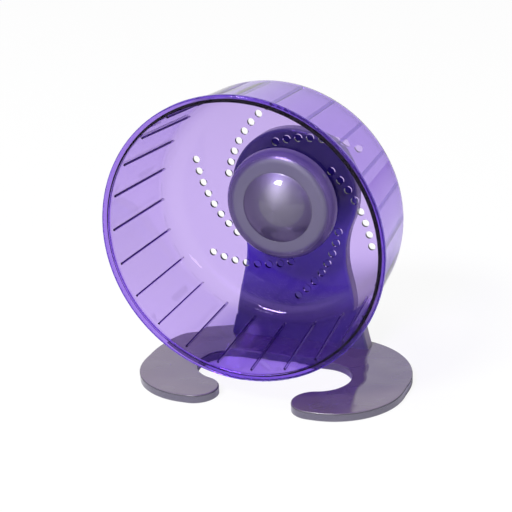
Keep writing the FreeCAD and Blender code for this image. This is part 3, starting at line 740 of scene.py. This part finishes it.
def rounded_profile(corners: list[Point], radii: list[float], steps: int = 8) -> np.ndarray:
    """Closed outline with its corners rounded.

    Each corner of radius r is swapped for the arc that touches both of its edges: the arc starts and ends
    r / tan(half the corner's angle) from the corner, and its centre lies on the corner's bisector.

    Args:
        corners: Corners in order.
        radii: Radius at each corner, 0 for a sharp one.
        steps: Number of parts in each arc.

    Returns:
        Points of the outline, one per row.
    """
    points = np.array(corners, float)
    before = np.roll(points, 1, axis=0) - points
    after = np.roll(points, -1, axis=0) - points
    before /= np.linalg.norm(before, axis=1, keepdims=True)
    after /= np.linalg.norm(after, axis=1, keepdims=True)
    half_angle = 0.5 * np.arccos(np.clip((before * after).sum(axis=1), -1.0, 1.0))
    radius = np.array(radii, float)
    bisector = before + after
    bisector /= np.linalg.norm(bisector, axis=1, keepdims=True)
    centre = points + bisector * (radius / np.sin(half_angle))[:, None]
    start = points + before * (radius / np.tan(half_angle))[:, None]
    end = points + after * (radius / np.tan(half_angle))[:, None]
    share = np.linspace(0.0, 1.0, steps + 1)[None, :, None]
    chord = start[:, None, :] * (1.0 - share) + end[:, None, :] * share - centre[:, None, :]
    reach = np.linalg.norm(chord, axis=2, keepdims=True)
    arcs = centre[:, None, :] + chord * (radius[:, None, None] / np.maximum(reach, TINY))
    rows = arcs.reshape(-1, 2)
    keep = np.linalg.norm(rows - np.roll(rows, 1, axis=0), axis=1) > SAME_POINT
    return rows[keep]


def turned(profile: np.ndarray, plane_y: float, axle_z: float, segments: int) -> tuple[np.ndarray, np.ndarray]:
    """Turn a closed outline of (radius, y) points about the axle.

    A point at radius r and angle a goes to (r cos a, plane_y + y, axle_z + r sin a).

    Args:
        profile: Outline, one (radius, y) per row, in millimetres.
        plane_y: Where the outline's y = 0 lies, in millimetres.
        axle_z: Height of the axle, in millimetres.
        segments: Number of parts in a full turn.

    Returns:
        Vertices in metres and quads as rows of vertex numbers.
    """
    count = len(profile)
    angle = np.linspace(0.0, 2.0 * math.pi, segments, endpoint=False)[:, None]
    radius, along = profile[:, 0][None, :], profile[:, 1][None, :]
    grid = np.stack([
        radius * np.cos(angle), np.broadcast_to(plane_y + along, (segments, count)),
        axle_z + radius * np.sin(angle)], axis=2)
    turn, place = np.meshgrid(np.arange(segments), np.arange(count), indexing="ij")
    next_turn, next_place = (turn + 1) % segments, (place + 1) % count
    quads = np.stack([
        turn * count + place, turn * count + next_place,
        next_turn * count + next_place, next_turn * count + place], axis=2)
    return grid.reshape(-1, 3) * MM, quads.reshape(-1, 4)


def new_piece(name: str, vertices: np.ndarray, faces: np.ndarray, finish: bpy.types.Material) -> bpy.types.Object:
    """Make a smooth mesh object at the origin.

    Args:
        name: Name of the piece.
        vertices: Points, one per row, in metres.
        faces: Rows of vertex numbers.
        finish: Material of the piece.

    Returns:
        The object, linked to the scene.
    """
    mesh = bpy.data.meshes.new(name)
    mesh.from_pydata(vertices.tolist(), [], faces.tolist())
    mesh.validate()
    mesh.polygons.foreach_set("use_smooth", np.ones(len(mesh.polygons), bool))
    mesh.materials.append(finish)
    mesh.update()
    piece = bpy.data.objects.new(name, mesh)
    bpy.context.collection.objects.link(piece)
    return piece


@dataclass
class Stand:
    """Hollow base and upright with their pads and screws, which stay still; heights in millimetres."""

    base_top: float = 5.3
    base_edge: float = 0.8
    foot_z: float = 25.0
    waist_z: float = 78.0
    head_z: float = 103.0

    def dress(self, shared: SharedFinishes) -> None:
        """Put the stand's finishes on its nodes.

        Args:
            shared: Shared effects and finishes.
        """
        base = BasePlastic(
            "smoke_base_plastic", (0.154, 0.101, 0.208), (0.139, 0.091, 0.187), roughness_low=0.06,
            roughness_high=0.15, clearness=0.25, ior=2.0, flow_scale=26.0, grain_share=0.002, grain_depth=0.0045,
            top_z=self.base_top, edge=self.base_edge)
        # the upright's own colour is the head's: painted shade behind the hub's ring
        upright = UprightPlastic(
            "smoke_upright_plastic", (0.046, 0.031, 0.166), (0.042, 0.028, 0.152), roughness_low=0.05,
            roughness_high=0.2, clearness=0.3, grain_depth=0.00012,
            foot_z=self.foot_z, waist_z=self.waist_z, head_z=self.head_z)
        cover = TintedPlastic(
            "smoke_cover_plastic", (0.215, 0.168, 0.330), (0.195, 0.152, 0.300), roughness_low=0.08,
            roughness_high=0.2, clearness=0.25, flow_scale=26.0, grain_share=0.05, grain_depth=0.0003)
        rubber = TintedPlastic(
            "pad_soft_rubber", (0.62, 0.60, 0.64), (0.54, 0.52, 0.56), roughness_low=0.45,
            roughness_high=0.7, clearness=0.6, grain_scale=2600.0, grain_share=0.7)
        put_on(base.build(shared.effects), "base_tray")
        put_on(upright.build(shared.effects), "upright_shell")
        put_on(cover.build(shared.effects), "upright_back_cover")
        put_on(rubber.build(shared.effects), "foot_pads")
        put_on(shared.zinc, "base_screws", "back_cover_screws")


@dataclass
class Drum:
    """Clear drum with its rim, tread ribs and back disc, and the carrier behind it.

    Sizes are in millimetres and the phase of the first rib in degrees. The painted shade on a rib ends at an arc
    past the rib's middle, and the band of painted shade behind a rib has a half width.
    """

    axle_z: float = 101.0
    rim_y: float = -49.8
    lip_back: float = -46.6
    tread_radius: float = 78.6
    tread_lean: float = 0.0906
    corner_y: float = 7.0
    rib_count: int = 24
    rib_phase: float = 1.27
    rib_front: float = -44.8
    rib_back: float = 10.9
    # arc past a rib's middle where its painted shade ends
    rib_shade_end: float = 0.25
    band_half: float = 1.15

    def dress(self, shared: SharedFinishes) -> None:
        """Put the drum's finishes on its nodes.

        Args:
            shared: Shared effects and finishes.
        """
        housing = TintedPlastic(
            "housing_matt_plastic", (0.15, 0.13, 0.20), (0.12, 0.10, 0.16), roughness_low=0.45,
            roughness_high=0.6, grain_share=0.6)
        put_on(DrumPlastic("violet_clear_plastic", self).build(shared.effects), "wheel_drum")
        put_on(housing.build(shared.effects), "hub_housing")
        put_on(shared.zinc, "hub_screws")


@dataclass
class Bearings:
    """Two ball bearings and what holds them on the axle's bolt; lines of the turning per metre."""

    turning_lines: float = 1400.0
    pressing_lines: float = 700.0
    places: tuple[str, str] = ("front", "rear")

    def dress(self, shared: SharedFinishes) -> None:
        """Put the steel finishes on the bearings and the axle's parts.

        Args:
            shared: Shared effects and finishes.
        """
        ground = MachinedSteel(
            "ground_bearing_steel", (0.72, 0.72, 0.74), (0.60, 0.60, 0.62), roughness_low=0.10,
            roughness_high=0.25, line_scale=self.turning_lines).build(shared.effects)
        pressed = MachinedSteel(
            "pressed_sheet_steel", (0.62, 0.62, 0.64), (0.50, 0.50, 0.50), roughness_low=0.22,
            roughness_high=0.40, line_scale=self.pressing_lines).build(shared.effects)
        for place in self.places:
            put_on(ground, f"{place}_bearing_inner_race", f"{place}_bearing_outer_race", f"{place}_bearing_balls")
            put_on(pressed, f"{place}_bearing_cage", f"{place}_bearing_shields")
        put_on(shared.zinc, "axle_bolt", "axle_nut", "axle_washer", "rear_spacer", "race_spacer")


@dataclass
class Hub:
    """Ring and dome in the middle of the drum, sizes in millimetres from the disc's mid-plane."""

    plane_y: float = 19.5
    axle_z: float = 101.0
    back_y: float = -0.9
    face_y: float = -10.2
    outer_radius: float = 33.2
    face_radius: float = 32.5
    edge_radius: float = 6.6
    matt_radius: float = 31.4
    wall: float = 2.0
    bore: float = 21.0
    lip_radius: float = 0.1
    dome_radius: float = 20.97
    dome_height: float = 8.0
    dome_wall: float = 1.8
    dome_edge: float = 0.2
    dome_back_y: float = -6.8
    small_edge: float = 0.1
    crown_angle: float = 0.002
    cap_points: int = 40
    roll_points: int = 8
    hollow_points: int = 24
    segments: int = 192

    def build(self, shared: SharedFinishes) -> None:
        """Build both pieces and dress them.

        Args:
            shared: Shared effects and finishes.
        """
        ring = RingPlastic(
            "hub_ring_plastic", (0.058, 0.044, 0.112), (0.052, 0.040, 0.101), roughness_low=0.28,
            roughness_high=0.38, ior=1.8, marks=0.3, grain_share=0.8, grain_depth=0.00008,
            axle_z=self.axle_z, face_edge=self.matt_radius)
        dome = TintedPlastic(
            "hub_gloss_plastic", (0.122, 0.107, 0.168), (0.115, 0.101, 0.158), roughness_low=0.50,
            roughness_high=0.54, metal=1.0, coat=1.0, coat_roughness=0.03, marks=0.3, grain_share=0.1,
            grain_depth=0.00002, spun=0.3)
        self._build_ring(ring.build(shared.effects))
        self._build_dome(dome.build(shared.effects))

    def _build_ring(self, finish: bpy.types.Material) -> None:
        """Turn the ring: a drafted side, a wide rounded shoulder, a flat face and an eased bore.

        Args:
            finish: Material of the ring.
        """
        inner_y = self.face_y + self.wall
        corners = [
            (self.outer_radius - self.wall, self.back_y), (self.outer_radius, self.back_y),
            (self.face_radius, self.face_y), (self.bore, self.face_y),
            (self.bore, inner_y), (self.face_radius - self.wall, inner_y)]
        radii = [
            0.0, self.small_edge, self.edge_radius, self.lip_radius, self.small_edge, self.edge_radius - self.wall]
        profile = rounded_profile(corners, radii)
        vertices, faces = turned(profile, self.plane_y, self.axle_z, self.segments)
        self._fit(new_piece("hub_ring_shell", vertices, faces, finish), "hub_ring")

    def _build_dome(self, finish: bpy.types.Material) -> None:
        """Turn the dome: a shallow cap of one sphere with a rolled edge, a skirt and a hollow behind it.

        The cap's radius is dome_radius squared over twice the height, plus half the height. Cap and hollow begin
        a very small angle off the axle, so that no face collapses there.

        Args:
            finish: Material of the dome.
        """
        sphere = self.dome_radius ** 2 / (2.0 * self.dome_height) + self.dome_height / 2.0
        centre = self.face_y - self.dome_height + sphere
        edge_angle = math.asin((self.dome_radius - self.dome_edge) / sphere)
        angle = np.linspace(self.crown_angle, edge_angle, self.cap_points)
        cap = np.stack([sphere * np.sin(angle), centre - sphere * np.cos(angle)], axis=1)
        edge_radius, edge_y = cap[-1]
        roll = np.linspace(0.0, 0.5 * math.pi, self.roll_points)[1:]
        rolled = np.stack([
            edge_radius + self.dome_edge * np.sin(roll), edge_y + self.dome_edge * (1.0 - np.cos(roll))], axis=1)
        inner = sphere - self.dome_wall
        hollow_edge = math.asin((self.dome_radius - self.dome_wall) / inner)
        inner_angle = np.linspace(hollow_edge, self.crown_angle, self.hollow_points)
        hollow = np.stack([inner * np.sin(inner_angle), centre - inner * np.cos(inner_angle)], axis=1)
        skirt = np.array([
            (self.dome_radius, self.dome_back_y), (self.dome_radius - self.dome_wall, self.dome_back_y)])
        profile = np.concatenate([cap, rolled, skirt, hollow])
        vertices, faces = turned(profile, self.plane_y, self.axle_z, self.segments)
        self._fit(new_piece("hub_dome_shell", vertices, faces, finish), "hub_dome")

    def _fit(self, piece: bpy.types.Object, node: str) -> None:
        """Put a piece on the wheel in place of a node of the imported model.

        Args:
            piece: The new piece.
            node: The node that it stands for.
        """
        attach(piece, Body.WHEEL.value)
        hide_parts(node)
        LOG.info("built %s for %s", piece.name, node)


def aim(azimuth: float, elevation: float) -> np.ndarray:
    """Direction from the object to a place in the studio.

    Args:
        azimuth: Angle round the object from its front, in degrees.
        elevation: Angle above the floor, in degrees.

    Returns:
        The direction, of length one.
    """
    turn, rise = math.radians(azimuth), math.radians(elevation)
    return np.array([math.sin(turn) * math.cos(rise), -math.cos(turn) * math.cos(rise), math.sin(rise)])


@dataclass(frozen=True)
class Softbox:
    """A rectangular studio lamp that faces the object; angles in degrees, lengths in metres, power in watts."""

    name: str
    azimuth: float
    elevation: float
    distance: float
    width: float
    height: float
    power: float
    seen_through: bool = False

    def build(self, target: Vector) -> None:
        """Place the lamp.

        Args:
            target: The point that the lamp faces.
        """
        towards = Vector(aim(self.azimuth, self.elevation))
        light = bpy.data.lights.new(self.name, "AREA")
        light.shape = "RECTANGLE"
        light.size = self.width
        light.size_y = self.height
        light.energy = self.power
        lamp = bpy.data.objects.new(self.name, light)
        lamp.location = target + towards * self.distance
        lamp.rotation_euler = towards.to_track_quat("Z", "Y").to_euler()
        lamp.visible_transmission = self.seen_through
        bpy.context.collection.objects.link(lamp)
        LOG.info("placed lamp %s", self.name)


@dataclass(frozen=True)
class PhotoCamera:
    """Camera at the photograph's viewing angle, for a square picture; angles in degrees, lengths in millimetres.

    The camera looks at the axle's middle from the azimuth and elevation, is rolled about its line of sight,
    and is then moved across and along that line.
    """

    azimuth: float = 22.254
    elevation: float = 21.085
    roll: float = -2.544
    distance: float = 925.12
    across: float = -15.923
    upward: float = -31.181
    focus: Place = (0.0, 19.5, 101.0)
    lens: float = 112.5
    sensor: float = 36.0
    nearest: float = 10.0

    def build(self) -> None:
        """Place the camera and make it the scene's own."""
        turn, roll = math.radians(self.azimuth), math.radians(self.roll)
        back = aim(self.azimuth, self.elevation)
        right = np.array([math.cos(turn), math.sin(turn), 0.0])
        upright = np.cross(back, right)
        axes = np.stack([
            math.cos(roll) * right + math.sin(roll) * upright,
            math.cos(roll) * upright - math.sin(roll) * right, back], axis=1)
        place = (axes @ np.array([self.across, self.upward, self.distance]) + np.array(self.focus)) * MM
        data = bpy.data.cameras.new("photo_camera")
        data.sensor_width = self.sensor
        data.lens = self.lens
        data.clip_start = self.nearest * MM
        camera = bpy.data.objects.new("photo_camera", data)
        matrix = Matrix(axes.tolist()).to_4x4()
        matrix.translation = Vector(place)
        camera.matrix_world = matrix
        bpy.context.collection.objects.link(camera)
        bpy.context.scene.camera = camera


@dataclass
class Studio:
    """White studio: pale floor, even surroundings, a lit wall for mirrors and a few softboxes.

    Lengths are in metres and angles in degrees. Glows and shines are parts of full white, and the front's reach is
    the part of a direction along Y.
    """

    floor_half: float = 4.0
    floor_colour: Colour = (0.88, 0.88, 0.89)
    floor_glow: float = 0.90
    floor_shine: float = 0.05
    floor_mirror: float = 0.9
    front_shine: float = 0.7
    front_reach: float = -0.6
    wall_azimuth: float = -11.0
    wall_elevation: float = 17.0
    wall_reach: float = 32.0
    wall_shine: float = 2.2
    ambient: float = 0.32
    lamp_target: Place = (0.0, 0.0, 0.09)
    lamps: tuple[Softbox, ...] = (
        Softbox("key_softbox", azimuth=-16.0, elevation=42.8, distance=3.3, width=0.84, height=0.52, power=105.0,
                seen_through=True),
        Softbox("top_softbox", azimuth=-24.0, elevation=66.0, distance=3.9, width=1.6, height=0.9, power=45.0),
        Softbox("side_softbox", azimuth=50.0, elevation=25.0, distance=4.2, width=1.3, height=0.55, power=27.0),
    )

    def build_world(self) -> None:
        """Light the scene evenly, with white surroundings where they are seen and a lit wall for mirrors.

        The wall's light falls from the middle of the wall to its reach by the cosine of the angle between. Mirrors
        also see the surroundings dimmer in front than at the sides and behind.
        """
        world = bpy.data.worlds.new("white_studio")
        world.use_nodes = True
        world.node_tree.nodes.clear()
        board = NodeBoard(world.node_tree)
        path = board.add("ShaderNodeLightPath").outputs
        ray = board.add("ShaderNodeTexCoord").outputs["Generated"]
        way = board.add("ShaderNodeSeparateXYZ", {"Vector": ray}).outputs
        towards = tuple(aim(self.wall_azimuth, self.wall_elevation))
        near = board.add("ShaderNodeVectorMath", {0: ray, 1: towards}, operation="DOT_PRODUCT").outputs["Value"]
        lit = board.spread(near, math.cos(math.radians(self.wall_reach)), 1.0, 0.0, self.wall_shine)
        even = board.spread(way["Y"], self.front_reach, 0.0, self.front_shine, 1.0)
        mirrored = board.math("ADD", lit, even)
        clear = board.math("MAXIMUM", path["Is Camera Ray"], path["Is Transmission Ray"])
        shown = board.math("MAXIMUM", clear, board.product(path["Is Glossy Ray"], mirrored))
        strength = board.math("MAXIMUM", shown, self.ambient)
        glow = board.add("ShaderNodeBackground", {"Color": opaque(WHITE), "Strength": strength})
        board.add("ShaderNodeOutputWorld", {"Surface": glow.outputs["Background"]})
        bpy.context.scene.world = world

    def build_floor(self) -> None:
        """Lay a pale floor that keeps a faint shadow and runs white into the surroundings.

        The floor glows for the camera. It glows a little in mirrors and through plastic, and more where plastic
        is seen in a mirror.
        """
        material, board = new_material("pale_floor")
        paper = board.add("ShaderNodeBsdfDiffuse", {"Color": opaque(self.floor_colour)})
        glow = board.add("ShaderNodeEmission", {"Color": opaque(WHITE), "Strength": 1.0})
        path = board.add("ShaderNodeLightPath").outputs
        behind = board.spread(path["Glossy Depth"], 0.0, 1.0, self.floor_shine, self.floor_mirror)
        through = board.product(path["Is Transmission Ray"], behind)
        mirrored = board.product(path["Is Glossy Ray"], self.floor_shine)
        direct = board.product(path["Is Camera Ray"], self.floor_glow)
        share = board.math("MAXIMUM", direct, board.math("MAXIMUM", through, mirrored))
        surface = board.add("ShaderNodeMixShader", {
            0: share, 1: paper.outputs["BSDF"], 2: glow.outputs["Emission"]})
        board.add("ShaderNodeOutputMaterial", {"Surface": surface.outputs["Shader"]})
        half = self.floor_half
        corners = np.array([(-half, -half, 0.0), (half, -half, 0.0), (half, half, 0.0), (-half, half, 0.0)])
        new_piece("floor", corners, np.array([[0, 1, 2, 3]]), material)

    def build(self) -> None:
        """Build the whole studio and its camera."""
        self.build_world()
        self.build_floor()
        for lamp in self.lamps:
            lamp.build(Vector(self.lamp_target))
        PhotoCamera().build()
        bpy.context.scene.view_settings.view_transform = "Standard"


def main() -> None:
    """Build the object's looks and the studio."""
    logging.basicConfig(level=logging.INFO, format="%(name)s: %(message)s")
    shared = SharedFinishes()
    Stand().dress(shared)
    Drum().dress(shared)
    Bearings().dress(shared)
    Hub().build(shared)
    Studio().build()


if __name__ == "__main__":
    main()
